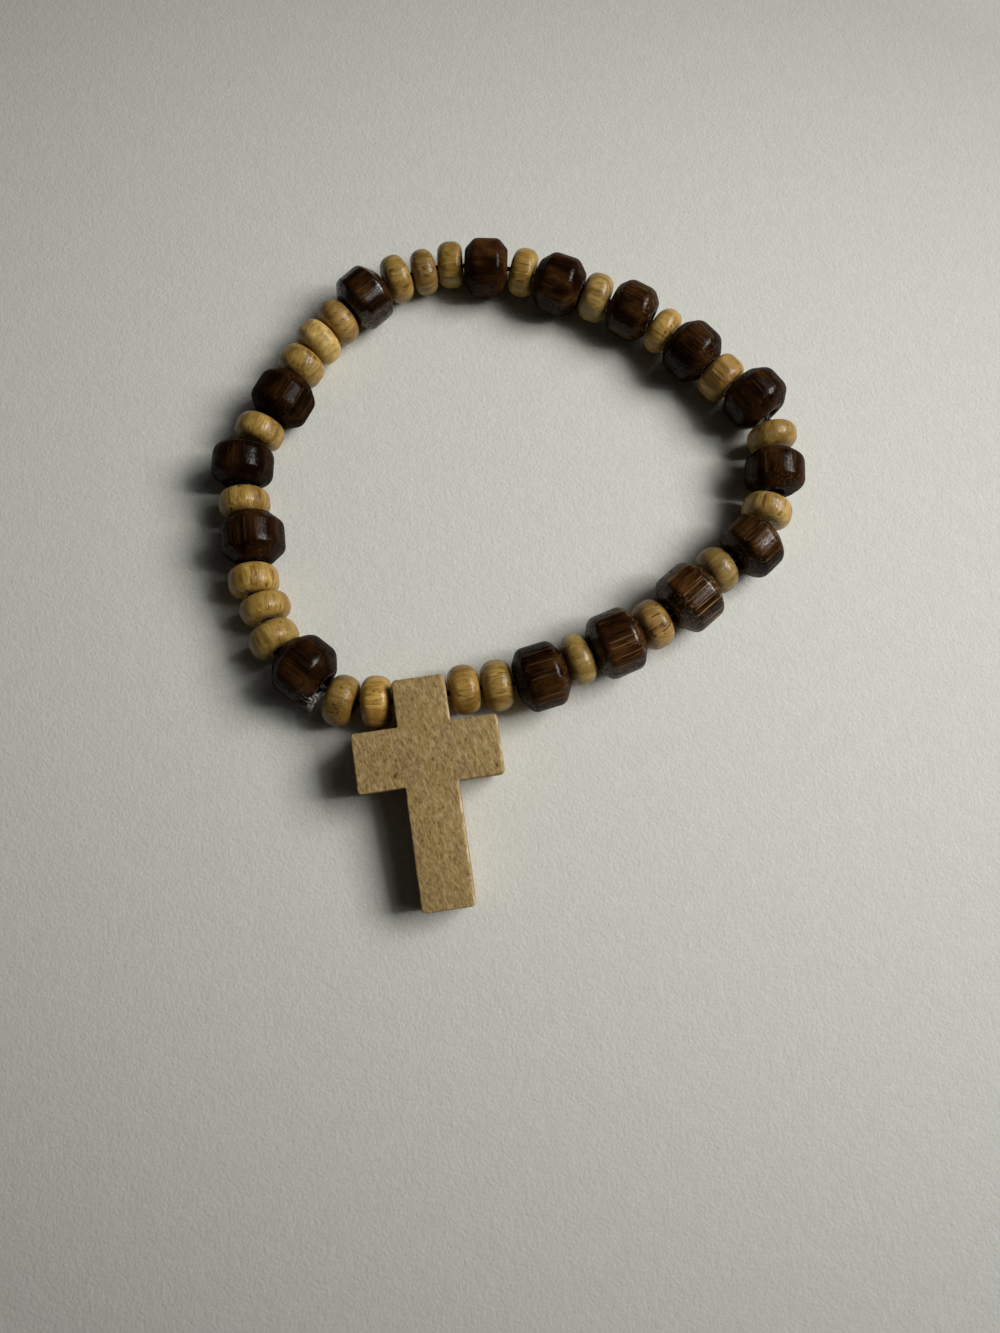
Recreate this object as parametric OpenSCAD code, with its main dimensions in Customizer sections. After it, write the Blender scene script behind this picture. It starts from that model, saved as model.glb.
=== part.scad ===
// Wooden bead bracelet with a wooden cross, lying flat in a closed loop.
// Dark barrel beads and light rounded beads hang on one elastic cord, which runs
// through every bead and across the head of the cross, and is knotted beside it.
// Millimetres. Z is up and z = 0 is the surface that the bracelet lies on.
// The cross points along -Y. The origin is under the middle of the whole bracelet.

/* [Dark beads] */
// Diameter of a plain dark bead
dark_d = 7.8; // [7.5:0.1:8]
// Length of a plain dark bead along the cord
dark_l = 5.9; // [5.7:0.1:6.3]
// Length of the full-width band round its middle
dark_band = 3.2; // [2.8:0.1:3.6]
// Diameter of its flat ends
dark_end_d = 4.6; // [4.2:0.1:5]
// Radius between the band and the slope to each end
dark_round = 0.9; // [0.4:0.1:1.2]
// Diameter of the hole through it
dark_bore_d = 2.4; // [2.2:0.1:2.8]

/* [Light beads] */
// Diameter of a plain light bead
light_d = 6.4; // [6.2:0.1:6.6]
// Length of a plain light bead along the cord
light_l = 3.5; // [3.3:0.1:3.8]
// Radius of its rounded shoulders
light_round = 1.35; // [1:0.05:1.4]
// Diameter of the hole through it
light_bore_d = 2.2; // [2:0.1:2.4]

/* [Cross] */
// Length of the long bar
cross_l = 26.9; // [24:0.1:30]
// Length of the short bar, tip to tip
cross_w = 17.2; // [15:0.1:20]
// Thickness of both bars
cross_t = 5; // [4.4:0.1:5.6]
// Width of the long bar
long_bar_w = 6.3; // [5.8:0.1:6.8]
// Width of the short bar
short_bar_w = 7.1; // [6.4:0.1:8]
// Length of the head above the short bar
head_l = 5.5; // [5.2:0.1:6.2]
// Radius of the worn edges and corners
edge_round = 0.5; // [0.3:0.05:0.8]
// Diameter of the cord's hole across the head
cross_bore_d = 2.2; // [2:0.1:2.4]
// Distance of that hole from the end of the head
cross_bore_in = 2.2; // [2:0.1:2.6]
// Degrees that the head is held up off the surface, with the foot still on it
cross_tilt = 4.5; // [3:0.5:5]

/* [Elastic cord] */
// Diameter of the cord
cord_d = 0.7; // [0.5:0.05:0.75]
// Diameter of the knot
knot_d = 1.2; // [1:0.1:1.3]
// Length of each cut end beyond the knot
cut_end_l = 1.4; // [1:0.1:1.8]

/* [Hidden] */
// Number of sides of everything round
ROUND = 96;

// The loop that the string of beads lies on, clockwise seen from above.
// It starts at the middle of the cross's hole. Round values, in mm.
ROUTE = [
  [-14.75, -17.75], [-20, -17.5], [-24.5, -16], [-28, -12.5], [-31, -7.75], [-32.5, -2],
  [-33, 4.5], [-33.25, 10], [-32.5, 15], [-30.25, 19.5], [-27, 23.5], [-23, 29],
  [-17, 34.5], [-9, 38.5], [-1, 39], [5.75, 36.75], [10.5, 34.25], [17, 30.5],
  [22.25, 26], [27, 20.5], [31.75, 14.5], [33.25, 9.25], [32.75, 4.25], [31, -0.25],
  [27.75, -4.5], [23, -7.5], [16.75, -11.25], [9.25, -14.5], [2.25, -16.5],
  [-5.5, -17.25], [-9.5, -17.5]
];

// Space between the cross and the first bead
first_gap = 0.4;

// The two kinds of bead
LIGHT = 0;
DARK = 1;

// Columns of the table of beads. Turned wood varies a little, so a row says how
// a bead differs from a plain one of its kind, and how it sits on the loop.
KIND = 0;
WIDER = 1; // added to the plain diameter
LONGER = 2; // added to the plain length
AFTER = 3; // space between this bead and the next, along the cord
SHIFT = 4; // how far the bead sits outside the route
TURN = 5; // degrees that it is turned from the route, seen from above

// One row for each bead, clockwise from the cross
BEADS = [
  // kind, wider, longer, after, shift, turn
  [LIGHT,  0.1,  0.1, 0.70, -0.2,  2],
  [LIGHT,  0.1,  0.0, 0.85,  0.3,  2],
  [DARK,   0.3,  0.3, 0.75, -0.2,  6],
  [LIGHT,  0.0,  0.0, 0.50,  0.4,  0],
  [LIGHT,  0.0, -0.3, 0.40, -0.1, -2],
  [LIGHT,  0.0,  0.2, 0.15,  0.4, -4],
  [DARK,   0.1,  0.3, 0.30, -0.5, -5],
  [LIGHT,  0.1, -0.2, 0.50,  0.0,  0],
  [DARK,  -0.1, -0.4, 0.65,  0.3,  6],
  [LIGHT, -0.1, -0.1, 0.35,  0.1,  5],
  [DARK,  -0.2,  0.1, 0.35, -0.3,  2],
  [LIGHT, -0.3,  0.3, 0.35,  0.2, -5],
  [LIGHT, -0.1,  0.0, 0.30,  0.2, -6],
  [LIGHT, -0.1, -0.1, 0.20,  0.1, -4],
  [DARK,  -0.2, -0.4, 0.70,  0.0,  5],
  [LIGHT, -0.1, -0.2, 0.50,  0.3, -5],
  [LIGHT, -0.4, -0.4, 0.40, -0.1, -4],
  [LIGHT, -0.4, -0.2, 0.35,  0.3, -4],
  [DARK,  -0.4, -0.3, 0.50, -0.6,  6],
  [LIGHT, -0.1, -0.3, 0.40,  0.2,  1],
  [DARK,  -0.2,  0.3, 0.20, -0.3,  0],
  [LIGHT,  0.0,  0.1, 0.50,  0.0,  2],
  [DARK,  -0.5, -0.3, 0.45,  0.1,  2],
  [LIGHT, -0.2, -0.5, 0.40,  0.2, -2],
  [DARK,  -0.2,  0.0, 0.20,  0.0, -5],
  [LIGHT, -0.1,  0.2, 0.30,  0.0, -6],
  [DARK,   0.2,  0.0, 0.85,  0.4,  2],
  [LIGHT,  0.1, -0.3, 0.55,  0.3, -2],
  [DARK,  -0.3, -0.5, 0.70,  0.0,  2],
  [LIGHT,  0.0,  0.0, 0.85,  0.0,  2],
  [DARK,   0.1, -0.4, 0.45,  0.3, -6],
  [LIGHT, -0.2,  0.2, 0.35, -0.3, -6],
  [DARK,   0.4,  0.3, 0.55,  0.2,  3],
  [LIGHT,  0.0,  0.2, 0.30,  0.2, -4],
  [DARK,   0.3,  0.3, 0.25,  0.0, -5],
  [LIGHT,  0.3, -0.2, 0.25, -0.3, -1],
  [DARK,   0.3,  0.2, 0.40,  0.4,  3],
  [LIGHT,  0.1,  0.2, 0.20,  0.1, -3],
  [LIGHT, -0.1,  0.2, 0.30, -0.2, -1]
];

function is_dark(b) = b[KIND] == DARK;
function diameter(b) = (is_dark(b) ? dark_d : light_d) + b[WIDER];
function length_of(b) = (is_dark(b) ? dark_l : light_l) + b[LONGER];

// The route as a smooth closed curve, with its length so far at each point
STEPS = 12;
function spline(a, b, c, d, t) = 0.5 * (2 * b + (c - a) * t + (2 * a - 5 * b + 4 * c - d) * t * t
    + (3 * b - a - 3 * c + d) * t * t * t);
function around(list, i) = list[(i + len(list)) % len(list)];
CURVE = [
  for (i = [0:len(ROUTE) - 1])
    for (k = [0:STEPS - 1])
      spline(around(ROUTE, i - 1), ROUTE[i], around(ROUTE, i + 1), around(ROUTE, i + 2), k / STEPS)
];
ALONG = [
  for (i = 0, s = 0; i <= len(CURVE); s = s + norm(around(CURVE, i + 1) - around(CURVE, i)), i = i + 1) s
];
X_AT = [for (i = [0:len(CURVE)]) [ALONG[i], around(CURVE, i).x]];
Y_AT = [for (i = [0:len(CURVE)]) [ALONG[i], around(CURVE, i).y]];

// Middle of each bead, measured along the string from the middle of the cross
string_start = long_bar_w / 2 + first_gap;
STATIONS = [
  for (i = 0, s = string_start; i < len(BEADS); s = s + length_of(BEADS[i]) + BEADS[i][AFTER], i = i + 1)
    s + length_of(BEADS[i]) / 2
];
last_bead = BEADS[len(BEADS) - 1];
string_l = STATIONS[len(BEADS) - 1] + length_of(last_bead) / 2 + last_bead[AFTER] + long_bar_w / 2;

// The loop grows or shrinks with the string, so that it always closes
loop_scale = string_l / ALONG[len(CURVE)];
function on_loop(s) = loop_scale * [lookup(s / loop_scale, X_AT), lookup(s / loop_scale, Y_AT)];
function heading(s, half) = let (d = on_loop(s + half) - on_loop(s - half)) atan2(d.y, d.x);
function bead_heading(i) = heading(STATIONS[i], length_of(BEADS[i]) / 2);
function bead_angle(i) = bead_heading(i) + BEADS[i][TURN];
function bead_place(i) =
  let (p = on_loop(STATIONS[i]), a = bead_heading(i) + 90, out = BEADS[i][SHIFT])
    [p.x + out * cos(a), p.y + out * sin(a), diameter(BEADS[i]) / 2];
function bead_end(i, side) =
  let (h = side * length_of(BEADS[i]) / 2, a = bead_angle(i)) bead_place(i) + [h * cos(a), h * sin(a), 0];

// The cross hangs on the cord by a hole across its head. It leans on the round
// edge of its foot, so the height of the hole follows from the lean.
hole_from_edge = [cross_l - cross_bore_in - edge_round, cross_t / 2 - edge_round];
cross_hole_z = edge_round + hole_from_edge.x * sin(cross_tilt) + hole_from_edge.y * cos(cross_tilt);
cross_hole = [on_loop(0).x, on_loop(0).y, cross_hole_z];
function cross_side(side) = cross_hole + [side * long_bar_w / 2, 0, 0];

// The cord goes through the middle of every bead and between every two ends
last = len(BEADS) - 1;
CORD = [
  cross_hole,
  (cross_side(-1) + bead_end(0, -1)) / 2,
  for (i = [0:last - 1]) for (p = [bead_place(i), (bead_end(i, 1) + bead_end(i + 1, -1)) / 2]) p,
  bead_place(last),
  (bead_end(last, 1) + cross_side(1)) / 2
];
CORD_SIDES = 8;

// The knot sits in the open side of the gap after this bead, this far outwards
// from the cord, at this height, and leans this many degrees from square to the cord
KNOT_BEAD = 1;
knot_out = 2.3;
knot_z = 4.4;
knot_lean = -2;
knot_root = (bead_end(KNOT_BEAD, 1) + bead_end(KNOT_BEAD + 1, -1)) / 2;
knot_angle = (bead_angle(KNOT_BEAD) + bead_angle(KNOT_BEAD + 1)) / 2 + 90 + knot_lean;
function from_knot_root(out, z) =
  [knot_root.x + out * cos(knot_angle), knot_root.y + out * sin(knot_angle), z];
knot_place = from_knot_root(knot_out, knot_z);
// The thin part that joins the knot to the cord
neck_d = 0.4;
// Direction of each cut end from the knot, outwards and upwards, as shares of its length
CUT_ENDS = [[1, -0.4], [0.4, 1]];

DARK_ROWS = [for (i = [0:last]) if (is_dark(BEADS[i])) i];
LIGHT_ROWS = [for (i = [0:last]) if (!is_dark(BEADS[i])) i];
function two_digits(n) = str(n < 10 ? "0" : "", n);
function dark_name(n) = str("dark_bead_", two_digits(n));
function light_name(n) = str("light_bead_", two_digits(n));

// A bead turned from half of its outline, drilled along its axis and set on the
// string with that axis along the cord
module bead_on_string(i, bore_d) {
  translate(bead_place(i)) rotate([0, 90, bead_angle(i)])
    difference() {
      rotate_extrude($fn = ROUND) children();
      cylinder(h = 2 * length_of(BEADS[i]), d = bore_d, center = true, $fn = ROUND);
    }
}

// A barrel with a straight band and a slope to each flat end.
// A circle rounds the edge between the band and each slope.
module dark_bead(i) {
  r = diameter(BEADS[i]) / 2;
  half = length_of(BEADS[i]) / 2;
  end_r = dark_end_d / 2;
  slope = atan2(r - end_r, half - dark_band / 2);
  flat = dark_band / 2 - dark_round * tan(slope / 2);
  cut = [r - dark_round * (1 - cos(slope)), flat + dark_round * sin(slope)];
  color("#33190f")
    bead_on_string(i, dark_bore_d) {
      polygon([
        [0, -half], [end_r, -half], [cut.x, -cut.y], [r, -flat],
        [r, flat], [cut.x, cut.y], [end_r, half], [0, half]
      ]);
      for (side = [-1, 1])
        translate([r - dark_round, side * flat]) circle(dark_round, $fn = ROUND);
    }
}

// A short bead with round shoulders
module light_bead(i) {
  r = diameter(BEADS[i]) / 2;
  half = length_of(BEADS[i]) / 2;
  inner = r - light_round;
  flat = half - light_round;
  color("#b08a4a")
    bead_on_string(i, light_bore_d) {
      translate([0, -half]) square([inner, 2 * half]);
      translate([0, -flat]) square([r, 2 * flat]);
      for (side = [-1, 1])
        translate([inner, side * flat]) circle(light_round, $fn = ROUND);
    }
}

// Outline with round corners, centred
module worn_outline(w, l) {
  square([w, l - 2 * edge_round], center = true);
  square([w - 2 * edge_round, l], center = true);
  for (x = [-1, 1], y = [-1, 1])
    translate([x * (w / 2 - edge_round), y * (l / 2 - edge_round)]) circle(edge_round, $fn = ROUND);
}

// Centred bar with every edge worn round
module worn_bar(w, l) {
  intersection() {
    linear_extrude(cross_t, center = true) worn_outline(w, l);
    rotate([90, 0, 0]) linear_extrude(l, center = true) worn_outline(w, cross_t);
    rotate([90, 0, 90]) linear_extrude(w, center = true) worn_outline(l, cross_t);
  }
}

// Two crossed bars of one thickness, drilled across the head for the cord.
// Measured from the middle of that hole, then leant up round it.
module wooden_cross() {
  color("#a98a5c")
    translate(cross_hole) rotate([cross_tilt, 0, 0])
      difference() {
        union() {
          translate([0, cross_bore_in - cross_l / 2, 0]) worn_bar(long_bar_w, cross_l);
          translate([0, cross_bore_in - head_l - short_bar_w / 2, 0]) worn_bar(cross_w, short_bar_w);
        }
        rotate([0, 90, 0])
          cylinder(h = 2 * long_bar_w, d = cross_bore_d, center = true, $fn = ROUND);
      }
}

// Tube along a level or sloping path, with one diameter for each point.
// A closed path joins its last ring to its first, an open one has flat ends.
module tube(path, diameters, closed) {
  n = len(path);
  rings = [
    for (i = [0:n - 1])
      let (
        before = closed ? around(path, i - 1) : path[max(i - 1, 0)],
        after = closed ? around(path, i + 1) : path[min(i + 1, n - 1)],
        along = (after - before) / norm(after - before),
        side = cross([0, 0, 1], along) / norm(cross([0, 0, 1], along)),
        up = cross(along, side)
      )
        for (k = [0:CORD_SIDES - 1])
          let (turn = 360 * k / CORD_SIDES)
            path[i] + diameters[i] / 2 * (cos(turn) * side + sin(turn) * up)
  ];
  walls = [
    for (i = [0:closed ? n - 1 : n - 2]) for (k = [0:CORD_SIDES - 1])
      let (j = (i + 1) % n, m = (k + 1) % CORD_SIDES)
        [i * CORD_SIDES + k, j * CORD_SIDES + k, j * CORD_SIDES + m, i * CORD_SIDES + m]
  ];
  ends = closed ? [] : [
    [for (k = [0:CORD_SIDES - 1]) k],
    [for (k = [CORD_SIDES - 1:-1:0]) (n - 1) * CORD_SIDES + k]
  ];
  polyhedron(rings, concat(walls, ends));
}

// The closed cord with its knot and two cut ends, all one piece
module elastic_cord() {
  color("#d8dcd4") {
    tube(CORD, [for (p = CORD) cord_d], true);
    tube([knot_root, knot_place], [neck_d, neck_d], false);
    translate(knot_place) sphere(d = knot_d, $fn = 12);
    for (way = CUT_ENDS)
      tube(
        [knot_place, from_knot_root(knot_out + way.x * cut_end_l, knot_z + way.y * cut_end_l)],
        [cord_d, neck_d],
        false
      );
  }
}

for (n = [1:len(DARK_ROWS)])
  dark_bead(DARK_ROWS[n - 1]);
for (n = [1:len(LIGHT_ROWS)])
  light_bead(LIGHT_ROWS[n - 1]);
wooden_cross();
elastic_cord();
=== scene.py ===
"""Looks of the wooden bead bracelet with a wooden cross, lying on plain paper.

Lengths are metres in the part's own frame: z = 0 is the paper, the cross points along -Y.
Numbers named in millimetres are multiplied by MM where they are used.
Marks of the wood are given as pixels read off the photograph. The script works out where they lie.
"""

import math

import bpy
from mathutils import Matrix, Vector, noise


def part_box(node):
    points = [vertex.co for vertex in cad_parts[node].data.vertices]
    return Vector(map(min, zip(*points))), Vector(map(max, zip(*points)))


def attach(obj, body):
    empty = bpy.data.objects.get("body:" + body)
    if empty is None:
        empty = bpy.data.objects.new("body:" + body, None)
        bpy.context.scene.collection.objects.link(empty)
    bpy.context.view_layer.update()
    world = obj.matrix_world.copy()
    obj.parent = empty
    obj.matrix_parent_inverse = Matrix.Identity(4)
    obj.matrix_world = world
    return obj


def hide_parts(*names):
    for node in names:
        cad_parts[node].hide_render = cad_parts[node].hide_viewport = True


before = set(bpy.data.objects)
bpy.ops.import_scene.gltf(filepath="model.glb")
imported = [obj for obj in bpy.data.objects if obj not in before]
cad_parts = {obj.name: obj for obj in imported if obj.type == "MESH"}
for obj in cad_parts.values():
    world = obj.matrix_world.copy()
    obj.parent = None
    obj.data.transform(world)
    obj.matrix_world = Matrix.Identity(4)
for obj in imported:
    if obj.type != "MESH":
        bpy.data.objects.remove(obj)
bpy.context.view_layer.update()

MM = 0.001

# Camera
CAMERA_PLACE = Vector((-9.92, -40.53, 121.09)) * MM
CAMERA_TILT = math.radians(12.35)
CAMERA_ROLL = math.radians(-2.75)
CAMERA_TURN = math.radians(-11.15)
FOCAL_PIXELS = 1000.0
IMAGE_LONG_SIDE = 1333.0
IMAGE_MIDDLE = (500.0, 666.5)
SENSOR_MM = 36.0
CLIP_NEAR = 0.005
CLIP_FAR = 10.0


def camera_axes():
    """The camera's right, down and forward directions."""
    forward = Vector((0.0, math.sin(CAMERA_TILT), -math.cos(CAMERA_TILT)))
    down0 = Vector((0.0, -math.cos(CAMERA_TILT), -math.sin(CAMERA_TILT)))
    right0 = Vector((1.0, 0.0, 0.0))
    right = math.cos(CAMERA_ROLL) * right0 + math.sin(CAMERA_ROLL) * down0
    down = -math.sin(CAMERA_ROLL) * right0 + math.cos(CAMERA_ROLL) * down0
    turn = Matrix.Rotation(CAMERA_TURN, 3, "Z")
    return turn @ right, turn @ down, turn @ forward


def add_camera():
    right, down, forward = camera_axes()
    data = bpy.data.cameras.new("camera")
    data.sensor_width = SENSOR_MM
    data.lens = FOCAL_PIXELS / IMAGE_LONG_SIDE * SENSOR_MM
    data.clip_start = CLIP_NEAR
    data.clip_end = CLIP_FAR
    camera = bpy.data.objects.new("camera", data)
    turn = Matrix((right, -down, -forward)).transposed()
    camera.matrix_world = Matrix.Translation(CAMERA_PLACE) @ turn.to_4x4()
    bpy.context.scene.collection.objects.link(camera)
    bpy.context.scene.camera = camera


def sight(pixel):
    """Direction in which the camera sees a pixel of the photograph."""
    right, down, forward = camera_axes()
    across = (pixel[0] - IMAGE_MIDDLE[0]) / FOCAL_PIXELS
    below = (pixel[1] - IMAGE_MIDDLE[1]) / FOCAL_PIXELS
    return forward + across * right + below * down


# Materials
class Graph:
    """A material's node tree, built a node at a time."""

    def __init__(self, name):
        self.material = bpy.data.materials.new(name)
        self.material.use_nodes = True
        self.tree = self.material.node_tree
        self.tree.nodes.clear()

    def node(self, kind, inputs=None, **settings):
        made = self.tree.nodes.new(kind)
        for key, value in settings.items():
            setattr(made, key, value)
        for key, value in (inputs or {}).items():
            self.put(made.inputs[key], value)
        return made

    def put(self, socket, value):
        if isinstance(value, bpy.types.NodeSocket):
            self.tree.links.new(value, socket)
        else:
            socket.default_value = value

    def math(self, operation, a, b=None, clamp=False):
        inputs = {0: a} if b is None else {0: a, 1: b}
        return self.node("ShaderNodeMath", inputs, operation=operation, use_clamp=clamp).outputs[0]

    def scaled(self, vector, scale):
        return self.node("ShaderNodeVectorMath", {0: vector, 1: scale}, operation="MULTIPLY").outputs[0]

    def moved(self, vector, by):
        return self.node("ShaderNodeVectorMath", {0: vector, 1: by}, operation="ADD").outputs[0]

    def noise(self, vector, scale=1.0, detail=3.0, roughness=0.55, distortion=0.0):
        inputs = {"Vector": vector, "Scale": scale, "Detail": detail, "Roughness": roughness,
                  "Distortion": distortion}
        return self.node("ShaderNodeTexNoise", inputs, noise_dimensions="3D").outputs["Fac"]

    def band(self, value, low, high):
        """0 below low, 1 above high, smooth between."""
        inputs = {"Value": value, "From Min": low, "From Max": high}
        return self.node("ShaderNodeMapRange", inputs, interpolation_type="SMOOTHSTEP").outputs["Result"]

    def mix(self, share, a, b, blend="MIX"):
        made = self.node("ShaderNodeMix", data_type="RGBA", blend_type=blend)
        self.put(made.inputs[0], share)
        for socket, value in ((made.inputs[6], a), (made.inputs[7], b)):
            self.put(socket, value if isinstance(value, bpy.types.NodeSocket) else (*value, 1.0))
        return made.outputs[2]

    def bump(self, height, strength, distance):
        inputs = {"Height": height, "Strength": strength, "Distance": distance}
        return self.node("ShaderNodeBump", inputs).outputs["Normal"]

    def surface(self, **inputs):
        named = {key.replace("_", " "): value for key, value in inputs.items()}
        shader = self.node("ShaderNodeBsdfPrincipled", named)
        output = self.node("ShaderNodeOutputMaterial")
        self.tree.links.new(shader.outputs[0], output.inputs["Surface"])
        return self.material


def own_millimetres(graph, place, turn):
    """The point being shaded, in millimetres, in a piece's own frame.

    place and turn put that frame in the part's."""
    point = graph.node("ShaderNodeTexCoord").outputs["Object"]
    made = graph.node("ShaderNodeMapping", {"Vector": point}, vector_type="TEXTURE")
    made.inputs["Location"].default_value = place
    made.inputs["Rotation"].default_value = turn.to_euler("XYZ")
    made.inputs["Scale"].default_value = (MM, MM, MM)
    return made.outputs[0]


def times(colour, factor):
    return tuple(c * factor for c in colour)


# Wood
WAX = (1.0, 0.96, 0.88, 1.0)
DEEP = (0.0070, 0.0023, 0.0007)
WARM = (0.031, 0.0112, 0.0031)
GOLD = (0.098, 0.044, 0.0115)
PALE_STREAK = (0.24, 0.150, 0.072)
# A dark bead that shines at least this much is smoother, and its coat lies flatter
GLOSSY = 1
RIPPLE = 0.6
GLOSSY_RIPPLE = 0.35


def dark_wood(name, place, turn, tone, gold, streak, gloss, seed):
    """Lacquered dark wood with its grain along the hole.

    tone brightens it, gold is how much of a warm cloud shows, streak how much thin pale lines do,
    and gloss how much it shines."""
    g = Graph(name)
    p = g.moved(own_millimetres(g, place, turn), (seed * 11.7, seed * 3.1, seed * 5.3))
    broad = g.noise(g.scaled(p, (0.16, 0.42, 0.42)), 1.0, 3.0, 0.55, 0.3)
    layers = g.noise(g.scaled(p, (0.10, 1.3, 0.9)), 1.0, 4.0, 0.62, 0.35)
    thin = g.noise(g.scaled(p, (0.07, 3.6, 3.0)), 1.0, 2.0, 0.5, 0.1)
    dashes = g.noise(g.scaled(p, (0.50, 6.0, 6.0)), 1.0, 2.0, 0.5)
    pores = g.noise(g.scaled(g.moved(p, (5.0, 9.0, 2.0)), (0.7, 7.0, 7.0)), 1.0, 1.0, 0.5)
    colour = g.mix(g.band(broad, 0.34, 0.64), times(DEEP, tone), times(WARM, tone))
    glow = g.math("MULTIPLY", g.band(broad, 0.44, 0.72), g.band(layers, 0.36, 0.62))
    colour = g.mix(g.math("MULTIPLY", glow, gold), colour, times(GOLD, tone))
    deep_share = g.math("MULTIPLY", g.band(layers, 0.56, 0.70), 0.40 + 0.3 * streak)
    colour = g.mix(deep_share, colour, times(DEEP, tone))
    gold_share = g.math("MULTIPLY", g.band(dashes, 0.56, 0.70), 0.12 + 0.6 * streak)
    colour = g.mix(gold_share, colour, times(GOLD, 0.8 * tone))
    pale = g.math("MULTIPLY", g.band(thin, 0.56, 0.66), g.band(dashes, 0.30, 0.50))
    colour = g.mix(g.math("MULTIPLY", pale, streak), colour, PALE_STREAK)
    colour = g.mix(g.math("MULTIPLY", g.band(pores, 0.58, 0.68), 0.75), colour, times(DEEP, 0.5))
    relief = g.math("ADD", layers, g.math("MULTIPLY", dashes, 0.4))
    relief = g.math("SUBTRACT", relief, g.math("MULTIPLY", pores, 0.6))
    grain = g.bump(relief, 0.5, 0.03 * MM)
    wavy = g.noise(g.scaled(p, (0.40, 0.85, 0.85)), 1.0, 3.0, 0.55)
    worn = g.noise(g.scaled(p, (2.2, 3.0, 3.0)), 1.0, 3.0, 0.65)
    fine = g.math("ADD", g.math("MULTIPLY", dashes, 0.22), g.math("MULTIPLY", thin, 0.20))
    fine = g.math("ADD", fine, g.math("MULTIPLY", worn, 0.16))
    coat = g.bump(g.math("ADD", wavy, fine), RIPPLE if gloss < GLOSSY else GLOSSY_RIPPLE, 0.13 * MM)
    patchy = g.math("ADD", 0.45, g.math("MULTIPLY", 1.1, g.band(worn, 0.36, 0.60)))
    patchy = g.math("MULTIPLY", 0.23 * gloss, patchy)
    return g.surface(Base_Color=colour, Roughness=0.6, Specular_IOR_Level=0.0, Normal=grain,
                     Coat_Weight=patchy, Coat_Roughness=0.14, Coat_IOR=1.6, Coat_Normal=coat)


def mark(g, point, reach, row):
    """How much one mark on a bead shows.

    The row says where it is along the hole and about it, its half length, half width and strength.
    reach is the bead's radius."""
    along, angle, half_length, half_width, strength = row
    made = g.node("ShaderNodeMapping", {"Vector": point}, vector_type="TEXTURE")
    made.inputs["Location"].default_value = (along, reach * math.cos(angle), reach * math.sin(angle))
    made.inputs["Rotation"].default_value = (angle, 0.0, 0.0)
    made.inputs["Scale"].default_value = (half_length, reach, half_width)
    away = g.node("ShaderNodeVectorMath", {0: made.outputs[0]}, operation="LENGTH").outputs["Value"]
    ragged = g.math("MULTIPLY", g.noise(point, 3.5, 2.0, 0.6), 1.6)
    return g.math("MULTIPLY", g.band(g.math("ADD", away, ragged), 2.1, 1.3), strength)


def light_wood(name, place, heading, spin, reach, ground, line_share, fleck_share, seed, marks):
    """Pale waxed wood with fine brown lines and flecks along the hole, and marks of its own."""
    g = Graph(name)
    point = own_millimetres(g, place, heading)
    p = g.moved(own_millimetres(g, place, heading @ spin), (seed * 9.1, seed * 4.7, seed * 6.3))
    layers = g.noise(g.scaled(p, (0.15, 0.75, 0.55)), 1.0, 4.0, 0.62, 0.6)
    thin = g.noise(g.scaled(p, (0.24, 2.8, 1.8)), 1.0, 3.0, 0.55, 0.45)
    cloud = g.noise(g.scaled(p, (0.35, 0.45, 0.45)), 1.0, 3.0, 0.55, 0.2)
    patch = g.noise(g.scaled(g.moved(p, (7.0, 3.0, 9.0)), (0.35, 0.7, 0.7)), 1.0, 2.0, 0.5)
    size = 2.5 - 1.0 * fleck_share
    flecks = g.noise(g.scaled(p, (0.35 * size, size, size)), 1.0, 3.0, 0.6, 0.3)
    fine = g.noise(g.scaled(p, (0.9, 4.6, 4.6)), 1.0, 2.0, 0.6)
    pale = (ground[0] * 1.38, ground[1] * 1.40, ground[2] * 1.48)
    warm = (ground[0] * 0.70, ground[1] * 0.58, ground[2] * 0.40)
    brown = (ground[0] * 0.34, ground[1] * 0.23, ground[2] * 0.14)
    colour = g.mix(g.band(cloud, 0.38, 0.60), ground, pale)
    colour = g.mix(g.math("MULTIPLY", g.band(layers, 0.44, 0.62), 0.85), colour, warm)
    colour = g.mix(g.math("MULTIPLY", g.band(fine, 0.46, 0.68), 0.50), colour, warm)
    colour = g.mix(g.math("MULTIPLY", g.band(fine, 0.46, 0.30), 0.35), colour, pale)
    lines = g.math("MULTIPLY", g.band(thin, 0.54, 0.62), g.math("ADD", 0.25, g.band(patch, 0.42, 0.56)))
    colour = g.mix(g.math("MULTIPLY", lines, 0.8 * line_share, True), colour, brown)
    colour = g.mix(g.math("MULTIPLY", g.band(flecks, 0.57, 0.64), fleck_share), colour, times(brown, 0.85))
    height = g.math("SUBTRACT", g.math("MULTIPLY", thin, -0.6), g.math("MULTIPLY", flecks, 0.6))
    for row in marks:
        share = mark(g, point, reach, row)
        colour = g.mix(share, colour, times(brown, 1.1))
        height = g.math("SUBTRACT", height, g.math("MULTIPLY", share, 0.4))
    grain = g.bump(g.math("ADD", height, g.math("MULTIPLY", fine, -0.5)), 0.7, 0.08 * MM)
    wavy = g.noise(g.scaled(p, (0.8, 1.2, 1.2)), 1.0, 3.0, 0.6)
    rough = g.math("ADD", g.math("MULTIPLY", height, 0.6), g.math("MULTIPLY", fine, -0.4))
    coat = g.bump(g.math("ADD", wavy, rough), 0.6, 0.17 * MM)
    return g.surface(Base_Color=colour, Roughness=0.55, Specular_IOR_Level=0.15, Normal=grain,
                     Coat_Weight=0.52, Coat_Roughness=0.17, Coat_IOR=1.5, Coat_Tint=WAX, Coat_Normal=coat)


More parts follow.
